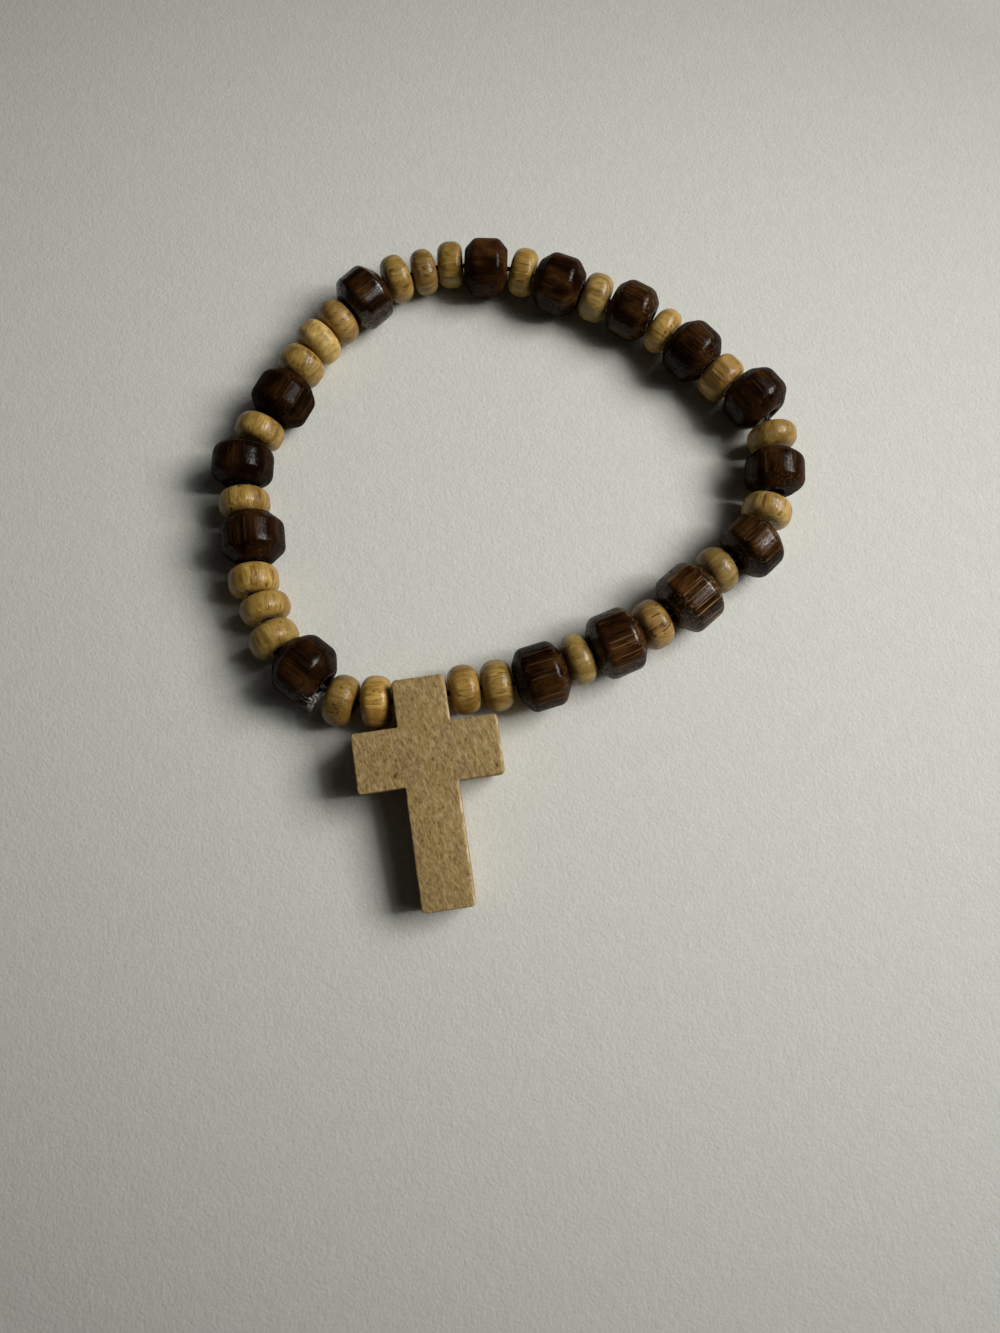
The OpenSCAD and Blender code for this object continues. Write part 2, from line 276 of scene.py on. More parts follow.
# Dark specks on the front of the cross, as seen: pixel across and down in the photograph, size in
# millimetres and strength
SPECKS_SEEN = [
    (395.4, 776, 0.27, 0.90), (433, 759, 0.20, 0.70), (497, 765, 0.28, 0.75), (395.8, 760.7, 0.18, 0.65),
    (416, 799, 0.20, 0.60), (439.4, 785, 0.16, 0.55), (443, 807, 0.17, 0.60), (420, 800, 0.22, 0.45),
    (373.5, 782, 0.18, 0.50), (357.7, 755, 0.20, 0.45), (456, 800.7, 0.18, 0.45), (427.4, 884, 0.22, 0.40),
    (461.7, 843, 0.24, 0.50), (455, 859, 0.26, 0.45), (412, 699, 0.24, 0.45), (470, 717, 0.20, 0.40),
    (488, 752, 0.20, 0.40),
]
# Fainter specks put between them: x and y from the hole in millimetres, size and strength
SPECKS_ADDED = [
    (4.6, -5.9, 0.17, 0.50), (4.5, -6.3, 0.15, 0.40), (-2.6, -1.1, 0.18, 0.40), (0.1, -1.6, 0.17, 0.40),
    (2.0, -3.9, 0.17, 0.40), (-1.2, -2.6, 0.15, 0.45), (3.7, -9.4, 0.15, 0.40), (0.3, -16.0, 0.16, 0.45),
    (-0.9, -14.6, 0.15, 0.45), (1.1, -22.3, 0.18, 0.40), (2.6, -21.0, 0.20, 0.45),
]
GRAIN_TURN = math.radians(12)
CROSS_PALE = (0.52, 0.385, 0.190)
CROSS_TAN = (0.365, 0.250, 0.094)
CROSS_DULL = (0.330, 0.228, 0.105)
CROSS_BROWN = (0.165, 0.103, 0.034)
CROSS_PORE = (0.130, 0.072, 0.020)
CROSS_SPECK = (0.070, 0.036, 0.008)
# Painted highlight, for the cross's rounded edges that face the light
LIT_EDGE_HIGHLIGHT = (0.64, 0.50, 0.34)


def cross_wood(name, place, turn, specks):
    """Sanded pale wood with short fine streaks nearly along the long bar, small pores and dark specks."""
    g = Graph(name)
    p = own_millimetres(g, place, turn)
    along = own_millimetres(g, place, turn @ Matrix.Rotation(GRAIN_TURN, 3, "Z"))
    streaks = g.noise(g.scaled(along, (2.9, 0.95, 2.9)), 1.0, 3.0, 0.60, 0.2)
    fine = g.noise(g.scaled(along, (5.2, 2.0, 5.2)), 1.0, 2.0, 0.55)
    cloud = g.noise(g.scaled(along, (0.36, 0.22, 0.36)), 1.0, 3.0, 0.6)
    pores = g.noise(g.scaled(g.moved(along, (31.0, 17.0, 5.0)), (3.4, 2.2, 3.4)), 1.0, 2.0, 0.5)
    foot = g.node("ShaderNodeSeparateXYZ", {0: p}).outputs[1]
    colour = g.mix(g.band(cloud, 0.44, 0.66), CROSS_TAN, CROSS_DULL)
    colour = g.mix(g.math("MULTIPLY", g.band(foot, -14.0, -26.0), 0.35), colour, times(CROSS_TAN, 0.75))
    colour = g.mix(g.math("MULTIPLY", g.band(streaks, 0.50, 0.34), 0.75), colour, CROSS_PALE)
    colour = g.mix(g.math("MULTIPLY", g.band(streaks, 0.53, 0.68), 0.65), colour, CROSS_BROWN)
    colour = g.mix(g.math("MULTIPLY", g.band(fine, 0.52, 0.70), 0.48), colour, CROSS_BROWN)
    colour = g.mix(g.math("MULTIPLY", g.band(fine, 0.47, 0.30), 0.50), colour, CROSS_PALE)
    colour = g.mix(g.math("MULTIPLY", g.band(pores, 0.60, 0.69), 0.55), colour, CROSS_PORE)
    ragged = g.math("ADD", g.math("MULTIPLY", g.math("SUBTRACT", streaks, 0.5), 0.45),
                    g.math("MULTIPLY", g.math("SUBTRACT", fine, 0.5), 0.35))
    for x, y, size, strength in specks:
        spot = g.node("ShaderNodeVectorMath", {0: g.scaled(p, (1.0, 0.7, 0.0)), 1: (x, 0.7 * y, 0.0)},
                      operation="DISTANCE").outputs["Value"]
        dot = g.math("SUBTRACT", 1.0, g.band(g.math("ADD", spot, ragged), size * 0.3, size * 1.15))
        colour = g.mix(g.math("MULTIPLY", dot, strength), colour, CROSS_SPECK)
    # Painted highlight: the rounded top edges facing +X, towards the light, are painted paler, broken up by
    # noise and the streaks
    facing = g.node("ShaderNodeSeparateXYZ", {0: g.node("ShaderNodeTexCoord").outputs["Normal"]})
    edge = g.math("MULTIPLY", g.band(facing.outputs[0], 0.25, 0.75), g.band(facing.outputs[2], 0.15, 0.5))
    edge = g.math("MULTIPLY", edge, g.math("ADD", 0.25, g.band(g.noise(p, 0.42, 2.0, 0.6), 0.42, 0.58)))
    edge = g.math("MULTIPLY", edge, g.math("ADD", 0.45, g.band(streaks, 0.55, 0.35)), True)
    colour = g.mix(edge, colour, LIT_EDGE_HIGHLIGHT)
    height = g.math("ADD", g.math("MULTIPLY", streaks, -1.0), g.math("MULTIPLY", fine, -0.6))
    grain = g.bump(height, 0.6, 0.07 * MM)
    return g.surface(Base_Color=colour, Roughness=0.66, Specular_IOR_Level=0.12, Normal=grain)


# Rubber between its pale threads and on them. It is pale up to the first distance below from the knot, and
# painted
# dark from the second on, in millimetres: painted shade for the cord lying in shade between the beads.
PALE_RUBBER = ((0.22, 0.23, 0.20), (0.50, 0.50, 0.46))
PAINTED_SHADE_RUBBER = ((0.03, 0.025, 0.018), (0.08, 0.07, 0.052))
PALE_TO = 0.7
PAINTED_SHADE_FROM = 1.8


def elastic(name):
    """Dull clear rubber with fine pale threads, whitish at the knot and painted dark elsewhere as painted
    shade.
    """
    g = Graph(name)
    p = own_millimetres(g, Vector((0, 0, 0)), Matrix.Identity(3))
    threads = g.noise(p, 4.5, 2.0, 0.6)
    away = g.node("ShaderNodeVectorMath", {0: p, 1: KNOT}, operation="DISTANCE").outputs["Value"]
    new = g.mix(g.band(threads, 0.35, 0.65), *PALE_RUBBER)
    painted_shade = g.mix(g.band(threads, 0.35, 0.65), *PAINTED_SHADE_RUBBER)
    # Painted shade: away from the knot the cord is painted dark, where it lies in shade between the beads
    colour = g.mix(g.band(away, PALE_TO, PAINTED_SHADE_FROM), new, painted_shade)
    return g.surface(Base_Color=colour, Roughness=0.40, Transmission_Weight=0.40, IOR=1.4,
                     Normal=g.bump(threads, 0.4, 0.04 * MM))


# Beads. Lengths are in millimetres here.
AROUND = 88
DARK_BORE_R = 1.2
DARK_END_R = 2.3
DARK_END_EDGE_R = 0.7
DARK_STEP = 0.45
LIGHT_BORE_R = 1.1
LIGHT_STEP = 0.4
SHOULDER_STRAY = 0.28
SHOULDER_STEPS = 11
# How far the surfaces of the beads stray from round
DARK_STRAY = 0.09
GLOSSY_STRAY = 0.04
LIGHT_STRAY = 0.17
# The light beads' noise starts here, so that it differs from the dark beads'
LIGHT_SEED = 40
# A face whose normal rises less than this is level, and faces within so many degrees belong to one end
LEVEL = 0.002
SAME_END = 0.5


def bead_frame(name):
    """Middle, direction of the hole in degrees, length and diameter of a CAD bead, read from its solid."""
    low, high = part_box(name)
    middle = (low + high) / 2
    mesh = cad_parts[name].data
    areas = {}
    for face in mesh.polygons:
        n = face.normal
        if abs(n.z) < LEVEL:
            angle = round(math.degrees(math.atan2(n.y, n.x)) % 180.0, 1) % 180.0
            areas[angle] = areas.get(angle, 0.0) + face.area
    best = max(areas, key=areas.get)
    near = {a: s for a, s in areas.items() if min(abs(a - best), 180 - abs(a - best)) < SAME_END}
    stray = sum((((a - best + 90) % 180) - 90) * s for a, s in near.items()) / sum(near.values())
    angle = math.radians(best + stray)
    along = Vector((math.cos(angle), math.sin(angle), 0.0))
    reach = [(v.co - middle).dot(along) for v in mesh.vertices]
    return middle, angle, max(reach) - min(reach), high.z - low.z


def rounded(points, radii, steps=5):
    """The outline with each corner rounded by its own radius."""
    out = []
    for i, (p, radius) in enumerate(zip(points, radii)):
        p = Vector(p)
        if radius <= 0 or i in (0, len(points) - 1):
            out.append(p)
            continue
        a = Vector(points[i - 1]) - p
        b = Vector(points[i + 1]) - p
        half = a.angle(b) / 2
        cut = min(radius / math.tan(half), 0.48 * a.length, 0.48 * b.length)
        start, end = p + a.normalized() * cut, p + b.normalized() * cut
        for k in range(steps + 1):
            t = k / steps
            out.append((1 - t) ** 2 * start + 2 * t * (1 - t) * p + t * t * end)
    return out


def divided(points, longest):
    """The outline with long straight stretches divided, so that dents have points to move."""
    out = [points[0]]
    for a, b in zip(points, points[1:]):
        n = max(1, math.ceil((b - a).length / longest))
        out += [a.lerp(b, k / n) for k in range(1, n + 1)]
    return out


def dark_outline(length, diameter, shoulder, band):
    """Half outline of a dark bead from one end of its hole to the other: along, out."""
    half, r = length / 2, diameter / 2
    corners = [(-half, DARK_BORE_R), (-half, DARK_END_R), (-band, r), (band, r), (half, DARK_END_R),
               (half, DARK_BORE_R)]
    radii = [0, DARK_END_EDGE_R, shoulder, shoulder, DARK_END_EDGE_R, 0]
    return divided(rounded(corners, radii), DARK_STEP)


def light_outline(length, diameter, shoulder, seed):
    """Half outline of a light bead: a short flat band between two round shoulders that differ a little."""
    half, r = length / 2, diameter / 2
    most = 0.48 * length
    first, second = (min(shoulder + SHOULDER_STRAY * noise.noise(Vector((seed * 3.7, side, 0.5))), most)
                     for side in (1.3, 7.9))
    out = [Vector((-half, LIGHT_BORE_R))]
    steps = SHOULDER_STEPS
    for k in range(steps + 1):
        a = math.pi - k * math.pi / 2 / steps
        out.append(Vector((-half + first + first * math.cos(a), r - first + first * math.sin(a))))
    for k in range(steps + 1):
        a = math.pi / 2 - k * math.pi / 2 / steps
        out.append(Vector((half - second + second * math.cos(a), r - second + second * math.sin(a))))
    out.append(Vector((half, LIGHT_BORE_R)))
    return divided(out, LIGHT_STEP)


def turned_mesh(name, outline, uneven, seed, flats=()):
    """Closed mesh of an outline turned about X, with a straight hole. Millimetres, in the bead's own frame.

    uneven is how far the surface strays. Each flat is (angle about X, depth) of a planed face."""
    closed = list(outline)
    bore = outline[0].y
    inner = 4
    back = outline[0].x - outline[-1].x
    closed += [Vector((outline[-1].x + back * k / inner, bore)) for k in range(1, inner)]
    rings = len(closed)
    top = max(p.y for p in outline)
    half = max(p.x for p in outline)
    verts, faces = [], []
    for i, p in enumerate(closed):
        for k in range(AROUND):
            a = 2 * math.pi * k / AROUND
            d = Vector((0.0, math.cos(a), math.sin(a)))
            r = p.y
            if r > bore + 0.2:
                spot = Vector((p.x * 0.35, d.y * 0.9, d.z * 0.9)) + Vector((seed * 7.3, 0, 0))
                fine = Vector((p.x * 0.8, d.y * r * 0.8, d.z * r * 0.8)) + Vector((0, seed * 5.1, 0))
                stray = uneven * (0.35 + 0.65 * min(1.0, (half - abs(p.x)) / 1.2))
                r -= stray * (0.5 + 0.5 * noise.noise(spot)) + stray * 0.35 * (0.5 + 0.5 * noise.noise(fine))
                for angle, depth in flats:
                    reach = math.cos(a - angle)
                    limit = (top - depth) / reach if reach > 0.2 else 1e9
                    if r > limit:
                        r = limit + 0.12 * (r - limit)
            verts.append((p.x, d.y * r, d.z * r))
    for i in range(rings):
        j = (i + 1) % rings
        for k in range(AROUND):
            m = (k + 1) % AROUND
            faces.append((i * AROUND + k, i * AROUND + m, j * AROUND + m, j * AROUND + k))
    mesh = bpy.data.meshes.new(name)
    mesh.from_pydata(verts, [], faces)
    mesh.update()
    return mesh


def add_piece(name, mesh, material, node):
    """Links a mesh that stands for a CAD node."""
    mesh.materials.append(material)
    for face in mesh.polygons:
        face.use_smooth = True
    piece = bpy.data.objects.new(name, mesh)
    bpy.context.scene.collection.objects.link(piece)
    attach(piece, "root")
    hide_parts(node)
    return piece


# Each row: how bright the wood is, how much of its warm cloud and its pale lines show, how much it shines,
# how far it is spun on the cord, and the radius of its shoulders
DARK_LOOKS = [
    (0.82, 0.60, 0.05, 0.75, 20, 1.5), (0.78, 0.30, 0.10, 0.75, 75, 0.8), (0.70, 0.25, 0.05, 0.60, 120, 1.4),
    (0.70, 0.35, 0.10, 0.20, 60, 1.3), (1.05, 0.55, 0.15, 2.60, 95, 0.8), (1.35, 0.40, 0.00, 0.50, 150, 1.0),
    (1.05, 0.90, 0.00, 0.75, 170, 1.3), (1.08, 0.50, 0.35, 0.90, 85, 1.5), (0.92, 0.45, 0.20, 0.80, 100, 1.5),
    (1.05, 0.45, 0.10, 0.85, 30, 1.6), (1.05, 0.45, 0.25, 0.60, 75, 1.4), (1.15, 0.85, 0.45, 0.95, 80, 1.0),
    (1.70, 0.65, 1.00, 1.60, 100, 0.9), (1.38, 0.55, 0.45, 1.60, 95, 1.1), (1.08, 0.50, 0.20, 0.85, 85, 1.2),
]
# Half width of the middle band, where it isn't the usual one
USUAL_BAND = 1.6
BANDS = {"dark_bead_13": 1.85, "dark_bead_14": 2.0, "dark_bead_15": 1.95}
STRAW = (0.352, 0.230, 0.058)
TAN = (0.330, 0.206, 0.060)
HONEY = (0.352, 0.220, 0.053)
OLIVE = (0.300, 0.205, 0.061)
PALE = (0.370, 0.262, 0.085)
# Each row: ground colour, how bright it is, how much its lines and its flecks show, how far it is spun,
# and the radius of its shoulders
LIGHT_LOOKS = [
    (HONEY, 1.36, 0.45, 0.20, 80, 1.5), (HONEY, 0.70, 0.45, 0.40, 20, 1.6),
    (STRAW, 0.92, 0.50, 0.40, 70, 1.45), (STRAW, 1.10, 0.45, 0.30, 95, 1.5),
    (STRAW, 1.15, 0.40, 0.30, 85, 1.4), (STRAW, 1.00, 0.95, 0.25, 90, 1.33),
    (STRAW, 1.00, 0.45, 0.40, 160, 1.4), (STRAW, 0.88, 0.50, 0.55, 100, 1.5),
    (PALE, 1.45, 0.35, 0.20, 30, 1.5), (TAN, 0.96, 0.50, 0.50, 60, 1.6),
    (STRAW, 1.00, 0.65, 0.70, 95, 1.6), (TAN, 0.74, 0.55, 0.75, 75, 1.6),
    (STRAW, 0.94, 0.75, 0.35, 85, 1.4), (STRAW, 1.10, 0.60, 0.30, 90, 1.4),
    (OLIVE, 1.06, 0.60, 0.25, 45, 1.5), (STRAW, 1.32, 0.45, 0.30, 110, 1.45),
    (TAN, 1.05, 0.50, 0.20, 80, 1.33), (STRAW, 0.95, 0.40, 0.35, 20, 1.7),
    (PALE, 1.24, 0.85, 0.35, 90, 1.5), (OLIVE, 0.80, 0.40, 0.40, 140, 1.65),
    (TAN, 0.98, 0.45, 0.95, 100, 1.65), (OLIVE, 1.12, 0.65, 0.35, 70, 1.65),
    (STRAW, 0.97, 0.50, 0.30, 85, 1.7), (HONEY, 0.91, 0.50, 0.30, 95, 1.7),
]
# Planed faces of some light beads: angle about the hole from level, and depth in millimetres
FLATS = {
    "light_bead_09": ((92, 0.20), (58, 0.22), (124, 0.18)),
    "light_bead_15": ((88, 0.18), (60, 0.14)),
    "light_bead_17": ((112, 0.30), (75, 0.22), (40, 0.25)),
    "light_bead_19": ((100, 0.16), (70, 0.14)),
    "light_bead_23": ((78, 0.16), (104, 0.14)),
    "light_bead_24": ((95, 0.24),),
}
# Dark marks of some light beads, as seen: pixel across and down in the photograph, half length along the
# hole and half width in millimetres, and strength
MARKS = {
    "light_bead_01": (
        (373.7, 690.9, 0.20, 0.14, 0.8), (379.4, 692.0, 0.25, 0.10, 0.8), (375.4, 704.3, 1.10, 0.10, 0.7),
        (384.6, 710.9, 0.30, 0.12, 0.8), (388.6, 712.6, 0.20, 0.16, 0.7), (384.6, 721.7, 0.80, 0.20, 0.6),
        (374.9, 681.7, 1.00, 0.14, 0.5)),
    "light_bead_02": (
        (341.1, 686.9, 0.20, 0.15, 0.8), (346.3, 692.0, 0.30, 0.10, 0.7), (333.1, 704.6, 0.35, 0.18, 0.8),
        (334.9, 708.6, 0.30, 0.15, 0.8), (337.1, 712.6, 0.20, 0.25, 0.8), (329.7, 712.6, 0.40, 0.16, 0.7),
        (339.4, 719.4, 0.20, 0.20, 0.8)),
    "light_bead_03": (
        (263.6, 637.1, 1.70, 0.40, 0.5), (280.7, 621.0, 0.15, 0.15, 0.7), (280.0, 640.7, 0.30, 0.15, 0.7)),
    "light_bead_04": (
        (281.1, 606.4, 0.50, 0.12, 0.8), (268.6, 606.4, 0.35, 0.10, 0.6), (254.3, 615.7, 0.40, 0.10, 0.6)),
    "light_bead_05": (
        (250.7, 581.4, 0.60, 0.14, 0.9), (253.9, 568.6, 0.70, 0.12, 0.7), (255.4, 573.6, 0.40, 0.12, 0.7),
        (266.8, 584.6, 0.25, 0.25, 0.9), (273.4, 573.0, 1.00, 0.16, 0.8), (276.4, 584.3, 0.35, 0.12, 0.7),
        (239.3, 578.6, 0.70, 0.30, 0.6), (248.6, 592.1, 0.40, 0.14, 0.8), (242.9, 593.6, 0.40, 0.14, 0.8)),
    "light_bead_07": ((276.3, 435.1, 1.70, 0.35, 0.7),),
    "light_bead_14": (
        (524.0, 263.9, 0.80, 0.13, 0.8), (522.1, 274.8, 0.80, 0.15, 0.7), (520.5, 281.5, 0.60, 0.15, 0.8)),
    "light_bead_16": (
        (674.5, 322.0, 0.20, 0.14, 0.9), (671.1, 326.3, 0.15, 0.14, 0.9), (665.1, 332.3, 0.20, 0.18, 0.9),
        (662.1, 335.7, 0.15, 0.16, 0.8), (670.3, 312.6, 1.20, 0.08, 0.6)),
    "light_bead_17": ((719.5, 372.5, 1.90, 0.08, 1.0), (717.0, 376.4, 1.60, 0.07, 0.9)),
    "light_bead_23": (
        (502.1, 671.9, 0.70, 0.09, 0.8), (511.9, 684.4, 0.30, 0.12, 0.8), (513.0, 691.9, 0.30, 0.12, 0.8),
        (511.9, 697.0, 0.40, 0.12, 0.8), (493.6, 675.9, 0.70, 0.10, 0.5)),
    "light_bead_24": (
        (471.5, 699.0, 0.70, 0.14, 0.8), (459.3, 695.9, 0.35, 0.16, 0.7), (469.6, 705.6, 1.20, 0.90, 0.3),
        (476.0, 690.0, 0.14, 0.80, 0.4)),
}
# The plain light bead's shoulder radius, and how finely a line of sight is followed, in millimetres
LIGHT_SHOULDER = 1.35
SIGHT_STEP = 0.01
# The beads in their order on the cord, clockwise from the cross
ORDER = "LLDLLLDLDLDLLLDLLLDLDLDLDLDLDLDLDLDLDLL"


def seen_on_bead(pixel, middle, angle, length, diameter):
    """Where a pixel of the photograph lies on a light bead: millimetres along the hole, radians about it.

    The line of sight is followed down in small steps, until it is inside the bead's plain shape."""
    level = Matrix.Rotation(-angle, 3, "Z")
    start = level @ (CAMERA_PLACE - middle) / MM
    way = level @ sight(pixel)
    way = way / -way.z
    reach, half = diameter / MM / 2, length / MM / 2
    straight = half - LIGHT_SHOULDER
    point = start + way * (start.z - reach)
    while point.z > -reach:
        past = max(0.0, abs(point.x) - straight)
        if past <= LIGHT_SHOULDER:
            radius = reach - LIGHT_SHOULDER + math.sqrt(LIGHT_SHOULDER ** 2 - past ** 2)
            if math.hypot(point.y, point.z) <= radius:
                return point.x, math.atan2(point.z, point.y)
        point = point + way * SIGHT_STEP
    raise ValueError(f"the camera doesn't see the bead at pixel {pixel}")


def add_bead(node, middle, angle, length, diameter):
    kind, n = node.split("_")[0], int(node[-2:])
    heading = Matrix.Rotation(angle, 3, "Z")
    flats = [(math.radians(a), depth) for a, depth in FLATS.get(node, ())]
    if kind == "dark":
        tone, gold, streak, gloss, spin, shoulder = DARK_LOOKS[n - 1]
        turn = heading @ Matrix.Rotation(math.radians(spin), 3, "X")
        wood = dark_wood(node + "_wood", middle, turn, tone, gold, streak, gloss, n)
        outline = dark_outline(length / MM, diameter / MM, shoulder, BANDS.get(node, USUAL_BAND))
        stray = DARK_STRAY if gloss < GLOSSY else GLOSSY_STRAY
        shape = turned_mesh(node + "_turned", outline, stray, n, flats)
    else:
        ground, bright, lines, flecks, spin, shoulder = LIGHT_LOOKS[n - 1]
        spin = Matrix.Rotation(math.radians(spin), 3, "X")
        marks = [(*seen_on_bead(row[:2], middle, angle, length, diameter), *row[2:])
                 for row in MARKS.get(node, ())]
        wood = light_wood(node + "_wood", middle, heading, spin, diameter / MM / 2, times(ground, bright),
                          lines, flecks, n + LIGHT_SEED, marks)
        outline = light_outline(length / MM, diameter / MM, shoulder, n)
        shape = turned_mesh(node + "_turned", outline, LIGHT_STRAY, n + LIGHT_SEED, flats)
    shape.transform(Matrix.Translation(middle) @ heading.to_4x4() @ Matrix.Scale(MM, 4))
    add_piece(node + "_turned", shape, wood, node)


def add_beads():
    """Adds every bead and returns their frames in order along the cord."""
    counts = {"dark": 0, "light": 0}
    frames = []
    for letter in ORDER:
        kind = "dark" if letter == "D" else "light"
        counts[kind] += 1
        node = f"{kind}_bead_{counts[kind]:02d}"
        measured = bead_frame(node)
        add_bead(node, *measured)
        frames.append(measured)
    return frames


# Cross, in millimetres
CROSS_L = 26.9
CROSS_W = 17.2
CROSS_T = 5.0
LONG_BAR_W = 6.3
SHORT_BAR_W = 7.1
HEAD_L = 5.5
HOLE_IN = 2.2
HOLE_R = 1.1
EDGE_R = 0.5
MOST_WEAR = 0.48
CROSS_LEAN = math.radians(4.5)


def hole_middle():
    """The middle of the cross's hole in the part's frame, in millimetres.

    The cross leans on the edge of its foot."""
    low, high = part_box("wooden_cross")
    rise, run = math.sin(CROSS_LEAN), math.cos(CROSS_LEAN)
    back = (HOLE_IN - EDGE_R) * run + (CROSS_T / 2 - EDGE_R) * rise + EDGE_R
    up = EDGE_R + (CROSS_L - HOLE_IN - EDGE_R) * rise + (CROSS_T / 2 - EDGE_R) * run
    return Vector(((low.x + high.x) / 2 / MM, high.y / MM - back, up))


def seen_on_cross(pixel, hole):
    """Where a pixel of the photograph lies on the cross's front: x and y from its hole, in millimetres."""
    level = Matrix.Rotation(-CROSS_LEAN, 3, "X")
    start = level @ (CAMERA_PLACE / MM - hole)
    way = level @ sight(pixel)
    point = start + way * ((CROSS_T / 2 - start.z) / way.z)
    return point.x, point.y


def corner_points(corners, longest):
    """Dense points round an anticlockwise outline with right-angled corners, each with its outward direction.

    Each corner is (x, y, radius)."""
    count = len(corners)
    out = []
    for i, (x, y, radius) in enumerate(corners):
        p = Vector((x, y))
        before = (p - Vector(corners[i - 1][:2])).normalized()
        after = (Vector(corners[(i + 1) % count][:2]) - p).normalized()
        n_in, n_out = Vector((before.y, -before.x)), Vector((after.y, -after.x))
        bulges = before.x * after.y - before.y * after.x > 0
        side = 1.0 if bulges else -1.0
        centre = p - before * radius - side * n_in * radius
        steps = 6 if bulges else 3
        for k in range(steps + 1):
            t = math.pi / 2 * k / steps
            n = (math.cos(t) * n_in + math.sin(t) * n_out).normalized()
            out.append((centre + side * radius * n, n))
        following = corners[(i + 1) % count]
        start, end = p + after * radius, Vector(following[:2]) - after * following[2]
        n = max(1, math.ceil((end - start).length / longest))
        out += [(start.lerp(end, k / n), n_out) for k in range(1, n)]
    return out


def cross_mesh():
    """The cross with worn, slightly uneven edges, in millimetres from the middle of its hole, lying level."""
    top, foot, thick = HOLE_IN, HOLE_IN - CROSS_L, CROSS_T
    lw, sw = LONG_BAR_W / 2, CROSS_W / 2
    arm_top = top - HEAD_L
    arm_low = arm_top - SHORT_BAR_W
    corners = [
        (-lw, foot, 0.62), (lw, foot, 0.55), (lw, arm_low, 0.15), (sw, arm_low, 0.55),
        (sw, arm_top, 0.55), (lw, arm_top, 0.15), (lw, top, 0.55), (-lw, top, 0.62),
        (-lw, arm_top, 0.15), (-sw, arm_top, 0.5), (-sw, arm_low, 0.5), (-lw, arm_low, 0.15),
    ]
    loop = corner_points(corners, 0.4)
    rows = []
    for p, n in loop:
        rough = 0.5 + 0.5 * noise.noise(Vector((p.x * 0.45, p.y * 0.45, 3.1)))
        nick = 0.5 + 0.5 * noise.noise(Vector((p.x * 1.7, p.y * 1.7, 8.3)))
        p = p - n * (0.05 * rough + 0.025 * nick)
        wear = 0.20 + 0.24 * max(0.0, n.x) ** 2 + 0.12 * (nick - 0.5) + 0.06 * (rough - 0.5)
        wear = min(wear, MOST_WEAR)
        rows.append((p, n, wear))
    rings = []
    curve = [math.pi / 2 * k / 5 for k in range(6)]
    for t in reversed(curve):
        inset, rise = 1 - math.cos(t), 1 - math.sin(t)
        rings.append([(*(p - n * wear * inset), wear * rise) for p, n, wear in rows])
    for share in (0.3, 0.5, 0.7):
        dent = [0.03 * (0.5 + 0.5 * noise.noise(Vector((p.x, p.y, share * 9.0)))) for p, _, _ in rows]
        rings.append([(*(p - n * d), thick * share) for (p, n, _), d in zip(rows, dent)])
    for t in curve:
        inset, rise = 1 - math.cos(t), 1 - math.sin(t)
        rings.append([(*(p - n * wear * inset), thick - wear * rise) for p, n, wear in rows])
    count = len(rows)
    verts = [(x, y, z - thick / 2) for ring in rings for x, y, z in ring]
    faces = [tuple(reversed(range(count)))]
    for i in range(len(rings) - 1):
        for k in range(count):
            m = (k + 1) % count
            faces.append((i * count + k, i * count + m, (i + 1) * count + m, (i + 1) * count + k))
    faces.append(tuple((len(rings) - 1) * count + k for k in range(count)))
    mesh = bpy.data.meshes.new("worn_cross")
    mesh.from_pydata(verts, [], faces)
    mesh.update()
    return mesh


def rod_mesh(radius, half, sides=40):
    """A straight rod along X through the origin."""
    verts = []
    for x in (-half, half):
        for k in range(sides):
            a = 2 * math.pi * k / sides
            verts.append((x, radius * math.cos(a), radius * math.sin(a)))
    faces = [tuple(reversed(range(sides))), tuple(range(sides, 2 * sides))]
    faces += [(k, (k + 1) % sides, sides + (k + 1) % sides, sides + k) for k in range(sides)]
    mesh = bpy.data.meshes.new("rod")
    mesh.from_pydata(verts, [], faces)
    mesh.update()
    return mesh


def drilled(mesh, tool):
    """The mesh with the tool's shape cut out of it."""
    body = bpy.data.objects.new("body", mesh)
    drill = bpy.data.objects.new("drill", tool)
    for thing in (body, drill):
        bpy.context.scene.collection.objects.link(thing)
    cut = body.modifiers.new("cut", "BOOLEAN")
    cut.operation, cut.solver, cut.object = "DIFFERENCE", "EXACT", drill
    view = bpy.context.evaluated_depsgraph_get()
    made = bpy.data.meshes.new_from_object(body.evaluated_get(view))
    for thing in (body, drill):
        bpy.data.objects.remove(thing)
    return made


def add_cross():
    """Adds the cross and returns the middle of its hole in millimetres."""
    hole = hole_middle()
    shape = drilled(cross_mesh(), rod_mesh(HOLE_R, LONG_BAR_W))
    shape.name = "wooden_cross_worn"
    caps = [face.index for face in shape.polygons if abs(face.normal.z) > 0.99]
    shape.transform(Matrix.Translation(hole * MM) @ Matrix.Rotation(CROSS_LEAN, 4, "X") @ Matrix.Scale(MM, 4))
    specks = [(*seen_on_cross(row[:2], hole), *row[2:]) for row in SPECKS_SEEN] + SPECKS_ADDED
    wood = cross_wood("cross_wood_grain", hole * MM, Matrix.Rotation(CROSS_LEAN, 3, "X"), specks)
    add_piece("wooden_cross_worn", shape, wood, "wooden_cross")
    for index in caps:
        shape.polygons[index].use_smooth = False
    shape.set_sharp_from_angle(angle=math.radians(50))
    return hole


